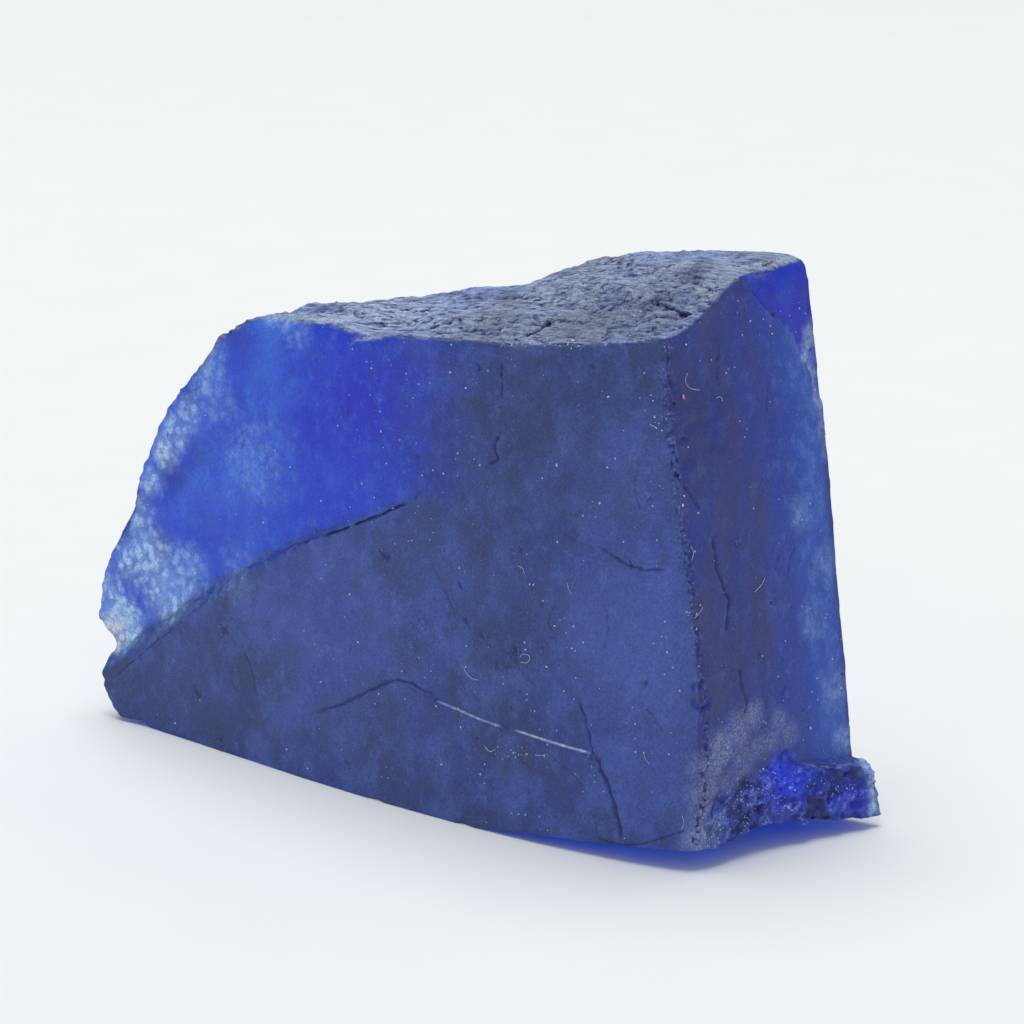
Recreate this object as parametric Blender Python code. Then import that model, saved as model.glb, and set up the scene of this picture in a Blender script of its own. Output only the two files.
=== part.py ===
"""Rough tanzanite: one broken, wedge-shaped block of blue crystal that stands on its underside.

The stone is drawn in millimetres. X runs along its length towards the thick end, Y runs from
the broad front face to the back, and Z is up. While it is shaped, zero is on the ground below
the near corner, where the front face meets the end face. At the end it is moved so that zero
is the middle of its underside.
"""
import math

import bmesh
import bpy
from mathutils import Vector, noise

MM = 0.001
NODE = "stone"

# The block is shaped from a lattice of cells: along its length, front to back, base to top.
COLUMNS = 44
LAYERS = 12
ROWS = 27
STEP_ROW = 12  # the row that follows the lower edge of the step across the front face

# The two broad faces
THIN_FOOT_X = -42.2  # where the underside ends, at the thin end
NEAR_CORNER_X = 0.3
FRONT_LEAN = 0.044  # set back for each millimetre of height
FRONT_BOW = 7.0  # the front swells forwards by about a quarter of this along the base
BOW_POWERS = (1.3, 0.8)  # how the swelling dies out towards the near corner and the thin end
BOW_FADE = 0.02  # share of it that each millimetre of height takes away
BACK_DEPTH = 13.98  # how far back the back face stands, behind the near corner at the top
BACK_TURN = 0.215  # how fast it closes on the front towards the thin end
BACK_LEAN = 0.04
TOP_HEIGHT = 33.9

# The upper left of the front is a lobe, which broke away behind the rest along a slanting step.
LOBE_END_X = -20.5
LOBE_SLOPE = 0.055
LEDGE_SHIFT = 0.1  # the ledge's upper edge stands this much nearer the thick end, at the thin end

# Corners of the front face, (x, z), read from the thin end or from the base
THIN_FOOT = [(THIN_FOOT_X, 0.0), (-44.6, 0.35), (-46.0, 1.6), (-46.4, 3.0)]
THIN_END = [
    (-46.3, 4.6), (-47.9, 5.8), (-48.0, 7.2), (-47.3, 10.0), (-45.6, 12.7), (-43.3, 17.8),
    (-42.4, 20.2), (-40.6, 22.0), (-38.9, 24.2), (-36.9, 26.3), (-33.2, 28.6),
]
STEP = [
    (-46.4, 3.0), (-42.2, 5.6), (-37.6, 9.1), (-32.4, 12.7), (-27.4, 15.7), (-21.1, 18.9),
    (-13.0, 20.6), (-1.3, 21.4),
]
NEAR_EDGE = [(NEAR_CORNER_X, 0.0), (0.35, 6.0), (0.2, 10.5), (-0.75, 18.7), (-1.3, 21.4)]
NEAR_EDGE_TOP = [(-1.5, 22.6), (-1.9, 24.9), (-2.6, 27.8), (-3.0, 31.2)]
FRONT_RIM = [
    (-33.2, 28.6), (-31.2, 28.7), (-26.5, 29.0), (-24.9, 28.7), (-20.0, 29.1), (-14.2, 29.6),
    (-12.0, 29.4), (-9.9, 30.0), (-5.9, 30.8), (-3.0, 31.2),
]

# Height of the step's slanting ledge, (share of the length, height)
LEDGE = [(0.0, 1.6), (0.15, 1.5), (0.3, 0.7), (0.42, 0.25), (0.58, 0.2), (0.8, 1.2), (1.0, 1.2)]

# Corners of the back face, (x, z)
BACK_RIM = [
    (-31.1, 28.5), (-27.3, 29.2), (-24.6, 29.4), (-22.0, 30.3), (-18.1, 30.9), (-16.8, 31.7),
    (-14.3, 32.8), (-12.4, 33.3), (-9.9, 33.7), (-4.6, 33.8), (-1.0, TOP_HEIGHT),
]
FAR_EDGE = [(3.3, 0.0), (2.9, 4.0), (1.4, 14.1), (0.35, 22.6), (-0.1, 26.1), (-1.0, TOP_HEIGHT)]
THIN_END_INSET = 2.1  # the back edge of the thin end stands in from its front edge

# The crest of the top runs behind the front rim and rises towards the thick end.
CREST_RISE = 1.5
CREST_FROM = 0.55  # share of the length where it begins
CREST_FRONT = (0.18, 0.5)  # shares of the depth between which it rises
CREST_BACK = 0.45  # share of the depth over which it falls to the back rim
CREST_ROWS = 0.7  # share of the height above which the rows follow it

# A granular foot juts out of the end face, under a narrow ledge.
FOOT_REACH = 1.9
FOOT_HEIGHT = 3.6
FOOT_ROWS = 3  # rows of cells up to its ledge
FOOT_LEDGE = 0.35
FOOT_SLOPE = 0.3  # its outer side comes in by this much for each millimetre of height
FOOT_FROM = 0.15  # share of the depth where it begins, behind the near corner
FOOT_LEDGE_FROM = 0.5  # share of the depth behind which its ledge is level with the rest
FOOT_INNER = 2.6  # columns of cells, inwards from the end face, that lean out with it
FOOT_LEDGE_FALL = 0.12  # its ledge falls towards the back by this much for each millimetre
FOOT_LEDGE_AT = 9.0  # how far back the ledge is at the foot's height

# The underside is chipped up along the front near the corner, and along the end face.
FRONT_CHIP_HEIGHT = 1.3
FRONT_CHIP_LENGTH = 14.5
FRONT_CHIP_DEPTH = 4.5
FRONT_CHIP_POWER = 0.8  # how the chip dies out along the front
END_CHIP = [(-1.0, 1.3), (3.0, 1.2), (5.5, 1.75), (7.5, 1.5), (11.0, 0.8), (14.5, 0.6)]
END_CHIP_DEPTH = 5.0
GROUND_GAP = 0.03  # what is not the underside stays this far off the ground
CHIP_FADES_AT = 9.0  # height above which the sides no longer follow the chipped underside

# The upper far corner of the end face is a flat chip.
CORNER_CHIP_LINE = ((8.0, TOP_HEIGHT), (13.4, 26.0))  # (y, z) of its edge
CORNER_CHIP_SLOPE = 0.11

# Roughness of each surface: height of its lumps, and their size along X, Y and Z
FRONT_GRAIN = (0.10, (7.0, 7.0, 7.0))
END_GRAIN = (0.22, (4.0, 4.0, 9.0))
TOP_GRAIN = (0.6, (6.0, 1.9, 3.0))
TOP_LUMPS = (0.6, (4.5, 3.0, 4.0))
BACK_WAVES = (3.4, (15.0, 9.0, 12.0))
BACK_GRAIN = (0.4, (4.5, 3.0, 2.4))
THIN_END_GRAIN = (0.5, (2.6, 2.6, 2.6))
FOOT_GRAIN = (0.75, (1.7, 1.7, 1.7))
EDGE_CHIPS = (0.6, (1.6, 1.6, 1.6))
RIM_CELLS = 4  # cells from the back's edges over which its waves rise to their full height
THIN_WAVES = 0.3  # the back's waves flatten to this share where the stone is thin
TOP_CALM = 0.7  # share of the top's lumps that is gone at its back rim
END_CALM = 0.6  # share of the end face's lumps that is gone at its far edge
FOOT_FADE = 0.6  # the foot's lumps die out over this height, above and below its ledge
CLEAVAGE_STEP = 0.55  # the back split along parallel sheets, which end in steps of this height
CLEAVAGE_RISER = 0.35  # share of each step that is its riser

COLOUR = (0.035, 0.055, 0.22, 1.0)
ROUGHNESS = 0.62


def ease(low, high, value):
    """Ease from 0 at low to 1 at high."""
    share = min(1.0, max(0.0, (value - low) / (high - low)))
    return share * share * (3.0 - 2.0 * share)


def along(corners, share):
    """The point at a share of the length of an open line of corners."""
    lengths = [math.dist(start, end) for start, end in zip(corners, corners[1:])]
    left = share * sum(lengths)
    for start, end, length in zip(corners, corners[1:], lengths):
        if left <= length:
            return Vector(start).lerp(Vector(end), left / length)
        left -= length
    return Vector(corners[-1])


def height(corners, place):
    """The height at a place on a line of (place, height) corners."""
    for (start, low), (end, high) in zip(corners, corners[1:]):
        if place <= end:
            return low + (high - low) * max(0.0, place - start) / (end - start)
    return corners[-1][1]


def patch(bottom, top, left, right, u, v):
    """A point inside four boundary lines that meet at their ends (a Coons patch)."""
    rails = bottom(u).lerp(top(u), v) + left(v).lerp(right(v), u)
    return rails - left(0.0).lerp(right(0.0), u).lerp(left(1.0).lerp(right(1.0), u), v)


def front_y(x, z):
    """The broad front face, which leans back and swells forwards along the base."""
    share = min(1.0, max(0.0, 1.0 - x / THIN_FOOT_X))
    near_power, thin_power = BOW_POWERS
    bow = FRONT_BOW * share ** near_power * (1.0 - share) ** thin_power
    return FRONT_LEAN * z - bow * (1.0 - BOW_FADE * z)


def back_y(x, z):
    """The back face, which closes on the front towards the thin end."""
    return BACK_DEPTH + BACK_TURN * x - BACK_LEAN * (TOP_HEIGHT - z)


def base_line(start_x, end_x):
    """A straight line along the ground."""
    return lambda share: Vector((start_x + (end_x - start_x) * share, 0.0))


def rail(corners):
    """A line of corners as a function of the share of its length."""
    return lambda share: along(corners, share)


def ledge_top(share):
    """The upper edge of the step, where the lobe begins."""
    return along(STEP, share) + Vector((LEDGE_SHIFT * (1.0 - share), height(LEDGE, share)))


def front_point(u, row):
    """A point of the front face, below the step or on the lobe above it."""
    if row <= STEP_ROW:
        base = base_line(THIN_FOOT_X, NEAR_CORNER_X)
        x, z = patch(base, rail(STEP), rail(THIN_FOOT), rail(NEAR_EDGE), u, row / STEP_ROW)
        return Vector((x, front_y(x, z), z))
    v = (row - STEP_ROW - 1) / (ROWS - STEP_ROW - 1)
    x, z = patch(ledge_top, rail(FRONT_RIM), rail(THIN_END), rail(NEAR_EDGE_TOP), u, v)
    return Vector((x, front_y(x, z) + LOBE_SLOPE * max(0.0, LOBE_END_X - x), z))


def thin_end_behind(share):
    """The back edge of the thin end."""
    row = share * ROWS
    if row <= STEP_ROW:
        x, z = along(THIN_FOOT, row / STEP_ROW)
    else:
        x, z = along(THIN_END, max(0.0, row - STEP_ROW - 1) / (ROWS - STEP_ROW - 1))
    return Vector((x + THIN_END_INSET, z + (BACK_RIM[0][1] - THIN_END[-1][1]) * share))


def back_point(u, row):
    """A point of the back face."""
    base = base_line(THIN_FOOT_X + THIN_END_INSET, FAR_EDGE[0][0])
    x, z = patch(base, rail(BACK_RIM), thin_end_behind, rail(FAR_EDGE), u, row / ROWS)
    return Vector((x, back_y(x, z), z))


def crest(u, v, row):
    """How far the top stands above the straight line from its front rim to its back rim."""
    across = ease(*CREST_FRONT, v) * min(1.0, (1.0 - v) / CREST_BACK)
    return CREST_RISE * ease(CREST_FROM, 1.0, u) * across * ease(CREST_ROWS, 1.0, row / ROWS)


def chip_under(x, y):
    """How far the underside is chipped up at a place. It is zero on the flat that carries it."""
    share = min(1.0, max(0.0, 1.0 + x / FRONT_CHIP_LENGTH))
    front = FRONT_CHIP_HEIGHT * share ** FRONT_CHIP_POWER
    front *= 1.0 - ease(0.0, FRONT_CHIP_DEPTH, y - front_y(x, 0.0))
    face_x = NEAR_CORNER_X + (FAR_EDGE[0][0] - NEAR_CORNER_X) * y / BACK_DEPTH
    end = height(END_CHIP, y) * (1.0 - ease(0.0, END_CHIP_DEPTH, face_x - x))
    return max(front, end)


def add_foot(point, u, v, row):
    """Push the low rows of the end face out, and gather two rows into the foot's ledge."""
    reach = FOOT_REACH * ease(FOOT_FROM, 1.0, v) ** 2 * ease(1.0 - FOOT_INNER / COLUMNS, 1.0, u)
    if row <= FOOT_ROWS:
        point.x += reach * (1.0 - FOOT_SLOPE / FOOT_REACH * max(0.0, point.z - 1.0))
    if u == 1.0 and row in (FOOT_ROWS, FOOT_ROWS + 1):
        above = row - FOOT_ROWS
        level = FOOT_HEIGHT + FOOT_LEDGE * above - FOOT_LEDGE_FALL * (point.y - FOOT_LEDGE_AT)
        point.z += (level - point.z) * ease(FOOT_FROM, FOOT_LEDGE_FROM, v)


def chip_corner(point):
    """Cut the upper far corner of the end face back to a flat chip."""
    (y, z), (end_y, end_z) = CORNER_CHIP_LINE
    length = math.dist((y, z), (end_y, end_z))
    past = ((z - end_z) * (point.y - y) + (end_y - y) * (point.z - z)) / length
    point.x -= CORNER_CHIP_SLOPE * max(0.0, past)


def stone_point(column, layer, row):
    """The place of one lattice point on the stone, before its surface is roughened."""
    u = column / COLUMNS
    v = layer / LAYERS
    point = front_point(u, row).lerp(back_point(u, row), v)
    point.z += crest(u, v, row)
    add_foot(point, u, v, row)
    if column == COLUMNS:
        chip_corner(point)
    point.z += chip_under(point.x, point.y) * max(0.0, 1.0 - point.z / CHIP_FADES_AT)
    return point


def lumps(point, grain):
    """Smooth random lumps of a given height and size."""
    rise, size = grain
    place = Vector([value / span for value, span in zip(point, size)])
    return rise * noise.noise(place, noise_basis="PERLIN_ORIGINAL")


def terraces(point, grain):
    """Lumps whose slopes are split into level sheets with a riser between each two."""
    level = lumps(point, grain) / CLEAVAGE_STEP
    sheet = math.floor(level)
    return CLEAVAGE_STEP * (sheet + ease(1.0 - CLEAVAGE_RISER, 1.0, level - sheet))


def surface_lumps(point, column, layer, row):
    """The sum of the lumps of every surface that a point lies on."""
    total = 0.0
    v = layer / LAYERS
    inner = ease(0, RIM_CELLS, min(column, COLUMNS - column))
    inner *= ease(0, RIM_CELLS, min(row, ROWS - row))
    inner *= THIN_WAVES + (1.0 - THIN_WAVES) * column / COLUMNS
    if layer == 0:
        total += lumps(point, FRONT_GRAIN)
    if layer == LAYERS:
        total += inner * terraces(point, BACK_WAVES) + lumps(point, BACK_GRAIN)
    if column == 0:
        total += lumps(point, THIN_END_GRAIN)
    if row == ROWS:
        calm = 1.0 - TOP_CALM * v ** 3
        total += (lumps(point, TOP_GRAIN) + lumps(point, TOP_LUMPS)) * calm
    if column == COLUMNS:
        low = 1.0 - ease(FOOT_HEIGHT - FOOT_FADE, FOOT_HEIGHT + FOOT_FADE, point.z)
        rough = lumps(point, END_GRAIN) + low * lumps(point, FOOT_GRAIN)
        total += rough * (1.0 - END_CALM * v)
    if column == COLUMNS and layer == 0:
        total -= abs(lumps(point, EDGE_CHIPS))
    return total


def lattice():
    """A closed block of unit cells, sliced from one cube."""
    bm = bmesh.new()
    bmesh.ops.create_cube(bm, size=1.0)
    bmesh.ops.translate(bm, vec=(0.5, 0.5, 0.5), verts=bm.verts)
    bmesh.ops.scale(bm, vec=(COLUMNS, LAYERS, ROWS), verts=bm.verts)
    for axis, count in enumerate((COLUMNS, LAYERS, ROWS)):
        normal = Vector((0.0, 0.0, 0.0))
        normal[axis] = 1.0
        for step in range(1, count):
            everything = bm.verts[:] + bm.edges[:] + bm.faces[:]
            bmesh.ops.bisect_plane(bm, geom=everything, plane_co=normal * step, plane_no=normal)
    return bm


def shape(bm):
    """Move each lattice point onto the stone, and then out or in by its lumps."""
    cells = {vert: tuple(round(value) for value in vert.co) for vert in bm.verts}
    for vert, cell in cells.items():
        vert.co = stone_point(*cell)
    bm.normal_update()
    moves = {}
    for vert, cell in cells.items():
        moves[vert] = vert.normal * surface_lumps(vert.co, *cell)
        if cell[2] == 0:
            moves[vert].z = 0.0
    for vert, move in moves.items():
        vert.co += move
        if cells[vert][2] > 0:
            vert.co.z = max(vert.co.z, GROUND_GAP)


def stand_on_ground(bm):
    """Scale to metres, and put zero under the middle of the stone."""
    bmesh.ops.scale(bm, vec=(MM, MM, MM), verts=bm.verts)
    low = Vector([min(vert.co[axis] for vert in bm.verts) for axis in range(3)])
    high = Vector([max(vert.co[axis] for vert in bm.verts) for axis in range(3)])
    middle = (low + high) / 2.0
    bmesh.ops.translate(bm, vec=(-middle.x, -middle.y, -low.z), verts=bm.verts)


def crystal_material():
    material = bpy.data.materials.new("tanzanite")
    material.use_nodes = True
    shader = material.node_tree.nodes["Principled BSDF"]
    shader.inputs["Base Color"].default_value = COLOUR
    shader.inputs["Roughness"].default_value = ROUGHNESS
    shader.inputs["Metallic"].default_value = 0.0
    return material


def build():
    for old in list(bpy.data.objects):
        bpy.data.objects.remove(old, do_unlink=True)
    bm = lattice()
    shape(bm)
    stand_on_ground(bm)
    bmesh.ops.triangulate(bm, faces=bm.faces)
    mesh = bpy.data.meshes.new(NODE)
    bm.to_mesh(mesh)
    bm.free()
    mesh.materials.append(crystal_material())
    stone = bpy.data.objects.new(NODE, mesh)
    bpy.context.scene.collection.objects.link(stone)


build()
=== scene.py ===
"""Looks of the rough tanzanite: its fine surface, its blues, and the dust and lint that lie on it.

Lengths are in millimetres until a mesh is made, and then in metres. Places on the stone are
given as they are seen from the camera, in pixels of a square picture, and each is carried
along the line of sight onto the stone itself.
"""

import math
import random

import bmesh
import bpy
import numpy as np
from mathutils import Matrix, Vector, noise
from mathutils.bvhtree import BVHTree


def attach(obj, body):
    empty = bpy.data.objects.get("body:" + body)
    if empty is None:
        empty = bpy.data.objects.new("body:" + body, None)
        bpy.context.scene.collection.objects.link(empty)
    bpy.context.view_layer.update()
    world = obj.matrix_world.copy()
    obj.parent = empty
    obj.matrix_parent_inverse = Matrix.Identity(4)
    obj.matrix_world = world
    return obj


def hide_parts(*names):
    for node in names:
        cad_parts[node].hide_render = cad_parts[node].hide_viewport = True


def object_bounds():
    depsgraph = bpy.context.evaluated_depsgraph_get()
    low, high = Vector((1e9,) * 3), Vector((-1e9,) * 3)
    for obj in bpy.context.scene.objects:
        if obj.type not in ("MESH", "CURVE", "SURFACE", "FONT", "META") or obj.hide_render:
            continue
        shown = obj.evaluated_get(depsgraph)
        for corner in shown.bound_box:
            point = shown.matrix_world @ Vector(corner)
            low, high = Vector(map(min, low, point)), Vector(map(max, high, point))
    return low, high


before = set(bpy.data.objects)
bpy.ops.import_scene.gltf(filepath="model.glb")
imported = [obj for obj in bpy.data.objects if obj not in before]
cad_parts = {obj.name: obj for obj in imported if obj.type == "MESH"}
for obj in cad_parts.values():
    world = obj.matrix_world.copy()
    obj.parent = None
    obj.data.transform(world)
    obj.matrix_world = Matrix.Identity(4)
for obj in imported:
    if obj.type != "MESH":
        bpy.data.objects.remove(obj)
cad_low, cad_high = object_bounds()

MM = 0.001

# Camera
PICTURE = 1024
LENS = 120.0
SENSOR = 36.0
NEAREST = 0.005  # metres
FURTHEST = 10.0
CAMERA_AT = Vector((122.85, -161.04, 74.80))
CAMERA_AIM = Vector((1.07, 3.96, 16.0))

# Lines on the stone, as seen from the camera
FACET_EDGE = [(744, 272), (752, 291), (760, 301), (768, 309), (781, 320), (795, 336), (801, 352),
              (811, 377), (815, 395)]
BEVEL_EDGE = [(806, 322), (801, 345), (803, 356), (809, 374), (814, 394), (819, 419), (824, 455)]
FOOT_TOP = [(700, 822), (714, 802), (732, 786), (750, 774), (768, 764), (784, 750), (798, 758),
            (806, 765), (850, 764), (858, 758), (880, 750)]
LINES = {
    "strip": [(318, 537), (305, 541), (292, 546), (275, 556), (258, 564), (248, 569)],
    "near edge": [(667, 352), (669, 400), (673, 450), (677, 500), (685, 550), (692, 600),
                  (699, 650), (704, 700), (706, 750), (704, 800), (694, 840)],
    "foot": [(722, 812), (750, 800), (790, 790), (830, 785), (866, 790)],
    "pit": [(693, 685), (690, 694), (694, 705), (702, 710), (709, 703), (708, 690), (700, 685)],
}
CRACKS = {
    # name: (width, depth, how dark, points)
    "step": (0.08, 0.16, 0.9, [(412, 501), (392, 509), (372, 518), (352, 525), (330, 534),
                               (310, 540), (292, 546)]),
    "v": (0.13, 0.08, 0.7, [(312, 714), (345, 703), (366, 692), (385, 683), (398, 679),
                            (415, 686), (437, 698)]),
    "ledge top": (0.06, 0.05, 0.45, [(250, 569), (232, 581), (214, 592), (194, 602), (162, 622),
                                     (132, 641), (114, 652)]),
    "ledge foot": (0.07, 0.06, 0.5, [(248, 572), (224, 589), (200, 607), (175, 626), (150, 647),
                                     (126, 667), (110, 680)]),
    "deep": (0.07, 0.10, 0.75, [(575, 690), (585, 718), (593, 754), (602, 775), (609, 792),
                                (616, 812), (622, 838)]),
    "deep low": (0.14, 0.13, 0.8, [(594, 751), (600, 766), (606, 782), (612, 799), (617, 815),
                                   (620, 830), (622, 843)]),
    "short": (0.10, 0.08, 0.7, [(598, 545), (607, 552), (619, 560), (631, 567), (649, 570),
                                (668, 569)]),
    "rim": (0.08, 0.08, 0.7, [(501, 398), (503, 388), (501, 376), (502, 360)]),
    "spot": (0.10, 0.10, 0.8, [(500, 434), (495, 444), (496, 452), (498, 459), (488, 464)]),
    "end": (0.12, 0.14, 0.8, [(712, 532), (714, 548), (716, 566), (722, 584), (729, 600),
                              (728, 618), (725, 636)]),
    "end low": (0.12, 0.10, 0.7, [(739, 665), (741, 678), (744, 693), (748, 706), (742, 718)]),
    "edge chip": (0.11, 0.12, 0.5, [(673, 472), (682, 484), (691, 493), (699, 510)]),
    "top": (0.14, 0.34, 0.8, [(522, 338), (536, 333), (548, 322), (562, 314)]),
    "top right": (0.12, 0.28, 0.8, [(655, 303), (672, 308), (688, 313), (700, 324)]),
    "facet": (0.06, 0.05, 0.45, FACET_EDGE),
}
FAINT_CRACK = (0.07, 0.04, 0.4)  # width, depth, how dark
FAINT_CRACKS = [[(412, 500), (424, 488), (436, 470)], [(720, 340), (716, 365), (718, 392)],
                [(768, 385), (766, 402), (770, 425)], [(795, 545), (789, 562), (786, 580)],
                [(640, 700), (652, 716), (664, 734)], [(430, 560), (446, 590), (458, 622)],
                [(506, 640), (520, 668), (538, 690)], [(560, 530), (575, 541), (598, 548)],
                [(240, 640), (252, 668), (258, 700)], [(604, 600), (609, 628), (603, 652)],
                [(470, 730), (480, 748), (486, 770)], [(640, 460), (634, 486), (640, 512)],
                [(498, 744), (515, 752), (530, 768), (552, 774)], [(552, 756), (570, 770), (584, 788)],
                [(512, 430), (520, 452), (516, 478)], [(556, 600), (548, 622), (560, 644)]]
CRACKS.update({f"faint {number}": (*FAINT_CRACK, points)
               for number, points in enumerate(FAINT_CRACKS)})
LEDGES = {
    # name: (how bright its painted glint is, points)
    "ledge": (0.5, [(436, 700), (460, 710), (480, 719), (503, 727)]),
    "ledge end": (0.85, [(513, 729), (540, 738), (566, 746), (592, 753)]),
    "foot rim": (0.35, [(799, 756), (804, 763), (816, 767), (835, 767), (850, 764), (857, 757),
                        (872, 757)]),
}

# Cracks on the back, as X and Z
BACK_CRACK = (0.10, 0.10, 0.55)  # width, depth, how dark
BACK_CRACKS = [[(-6.0, 21.5), (-2.5, 18.5), (0.5, 15.0), (4.0, 12.5), (8.5, 11.0)],
               [(13.0, 29.0), (14.2, 23.0), (13.2, 17.5), (14.8, 12.0)],
               [(-14.0, 6.0), (-8.0, 7.8), (-2.0, 6.2), (2.0, 3.0)]]

# Soft round spots of each look: place in the picture, radius of the full part and of it all in
# millimetres, share
SPOTS = {
    "violet": [(375, 405, 0.5, 10.0, 1.0), (415, 385, 0.5, 8.0, 0.9), (405, 450, 0.5, 8.0, 0.75),
               (328, 425, 0.5, 6.0, 0.8), (350, 465, 0.5, 7.0, 0.6), (320, 515, 0.5, 7.0, 0.4),
               (205, 520, 0.2, 3.0, 0.5), (165, 535, 0.2, 1.6, 0.5), (780, 290, 1.5, 4.5, 0.9),
               (795, 340, 0.5, 3.0, 0.7), (785, 776, 0.6, 2.8, 1.0), (850, 800, 0.4, 2.2, 0.6),
               (245, 350, 0.4, 2.4, 0.5), (745, 400, 0.5, 4.0, 0.35), (790, 470, 0.5, 4.0, 0.3)],
    "rose": [(116, 634, 0.4, 1.7, 1.0), (165, 452, 0.2, 1.2, 0.5), (150, 490, 0.2, 1.0, 0.4)],
    "pale": [(122, 622, 1.0, 2.6, 1.8), (112, 600, 0.5, 2.4, 1.2), (112, 590, 0.3, 2.4, 0.8),
             (176, 432, 0.4, 1.9, 1.1), (165, 450, 0.4, 1.9, 1.1), (150, 480, 0.3, 1.8, 0.9),
             (140, 520, 0.3, 2.2, 1.0), (150, 562, 0.6, 3.4, 1.25), (165, 590, 0.5, 3.2, 1.35),
             (128, 560, 0.4, 2.4, 1.1), (185, 575, 0.4, 3.0, 0.8), (205, 385, 0.3, 2.2, 0.6),
             (188, 412, 0.3, 1.8, 0.8), (215, 400, 0.3, 2.8, 0.35), (290, 318, 0.2, 1.5, 0.6),
             (270, 316, 0.2, 1.1, 0.6), (298, 335, 0.2, 1.6, 0.4), (255, 460, 0.5, 5.0, 0.25),
             (215, 360, 0.2, 1.8, 0.5), (240, 570, 0.3, 2.8, 0.3), (706, 840, 0.2, 1.8, 0.3),
             (716, 822, 0.2, 1.3, 0.3), (800, 515, 0.2, 1.6, 0.35), (828, 560, 0.2, 1.6, 0.30),
             (812, 620, 0.2, 1.8, 0.25), (835, 690, 0.2, 1.8, 0.30), (845, 740, 0.2, 1.6, 0.35),
             (868, 768, 0.2, 1.2, 0.7), (874, 788, 0.2, 1.1, 0.8), (877, 806, 0.2, 1.1, 0.9),
             (862, 756, 0.1, 0.9, 0.6)],
    "rough": [(752, 716, 0.2, 1.4, 0.9), (738, 732, 0.3, 1.7, 0.9), (722, 748, 0.3, 1.8, 1.0),
              (710, 768, 0.3, 1.7, 1.0), (706, 792, 0.3, 1.6, 0.9), (704, 816, 0.3, 1.4, 0.9),
              (778, 722, 0.2, 1.1, 0.6), (790, 734, 0.2, 1.1, 0.5), (760, 748, 0.2, 1.4, 0.5),
              (700, 838, 0.2, 1.5, 1.0), (745, 762, 0.3, 1.6, 0.6), (772, 738, 0.2, 1.2, 0.55),
              (730, 782, 0.3, 1.5, 0.6)],
    "light": [(400, 316, 1.0, 5.0, 0.9), (450, 316, 1.0, 4.0, 0.5), (340, 322, 0.5, 4.0, 0.8),
              (650, 262, 0.5, 4.0, 0.4), (740, 262, 0.5, 3.0, 0.4)],
    "ash": [(480, 318, 1.0, 4.0, 0.8), (590, 325, 1.0, 4.5, 0.9), (650, 315, 1.0, 4.0, 0.7)],
    "blue": [(330, 630, 2.0, 9.0, 0.5), (640, 640, 2.0, 8.0, 0.8), (640, 480, 1.0, 6.0, 0.4),
             (430, 560, 1.0, 5.0, 0.3), (660, 760, 1.0, 6.0, 0.5)],
    "ink": [(180, 690, 1.0, 5.0, 0.6), (560, 480, 1.0, 7.0, 0.4), (172, 470, 0.3, 2.2, 0.6),
            (200, 455, 0.2, 1.6, 0.5), (160, 545, 0.2, 1.8, 0.7), (520, 400, 1.0, 6.5, 0.75),
            (580, 372, 1.0, 5.0, 0.6), (485, 500, 1.0, 6.5, 0.6), (520, 600, 1.0, 6.0, 0.45),
            (440, 560, 0.5, 4.5, 0.35), (390, 780, 0.5, 5.0, 0.5), (235, 330, 0.2, 1.8, 0.5),
            (190, 395, 0.2, 1.4, 0.5), (130, 575, 0.2, 1.0, 0.5), (697, 700, 0.3, 1.0, 0.9),
            (745, 800, 0.3, 1.6, 0.4), (805, 800, 0.3, 1.4, 0.4), (500, 748, 0.6, 2.4, 0.6),
            (536, 762, 0.6, 2.2, 0.5)],
}


def smooth(low, high, value):
    """Ease from 0 at low to 1 at high, for numbers or arrays."""
    share = np.clip((value - low) / (high - low), 0.0, 1.0)
    return share * share * (3.0 - 2.0 * share)


# ---------------------------------------------------------------- lines of sight

FORWARD = (CAMERA_AIM - CAMERA_AT).normalized()
RIGHT = FORWARD.cross(Vector((0.0, 0.0, 1.0))).normalized()
UP = RIGHT.cross(FORWARD)
HALF_VIEW = SENSOR / 2.0 / LENS  # half the picture's width at a distance of 1
BEHIND = 50.0


def sight(px, py):
    """Direction of the line from the camera through a place in its picture."""
    across = (px / PICTURE * 2.0 - 1.0) * HALF_VIEW
    along = (1.0 - py / PICTURE * 2.0) * HALF_VIEW
    return (FORWARD + RIGHT * across + UP * along).normalized()


def in_picture(places):
    """Where places lie in the camera's picture, in pixels across and down."""
    away = places - np.array(CAMERA_AT)
    reach = away @ np.array(FORWARD) * HALF_VIEW
    across = (away @ np.array(RIGHT) / reach + 1.0) * PICTURE / 2.0
    down = (1.0 - away @ np.array(UP) / reach) * PICTURE / 2.0
    return across, down


def right_of(line, across, down):
    """How many pixels each place is to the right of a line that runs down the picture."""
    line = np.array(line, dtype=float)
    return across - np.interp(down, line[:, 1], line[:, 0])


class Touch:
    """Finds where lines of sight meet a mesh, in millimetres."""

    def __init__(self, mesh):
        places = [vert.co / MM for vert in mesh.vertices]
        self.tree = BVHTree.FromPolygons(places, [tuple(face.vertices) for face in mesh.polygons])

    def at(self, px, py):
        """Place and outward normal where a line of sight meets the stone."""
        towards = sight(px, py)
        place, normal, _, _ = self.tree.ray_cast(CAMERA_AT, towards)
        if place is None:
            depth = (CAMERA_AIM - CAMERA_AT).length
            place, normal, _, _ = self.tree.find_nearest(CAMERA_AT + towards * depth)
        return place, normal

    def line(self, pixels):
        return np.array([self.at(*pixel)[0] for pixel in pixels])

    def line_behind(self, points):
        """Places on the back at each X and Z."""
        starts = [Vector((x, BEHIND, z)) for x, z in points]
        return np.array([self.tree.ray_cast(start, Vector((0.0, -1.0, 0.0)))[0] for start in starts])


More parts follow.
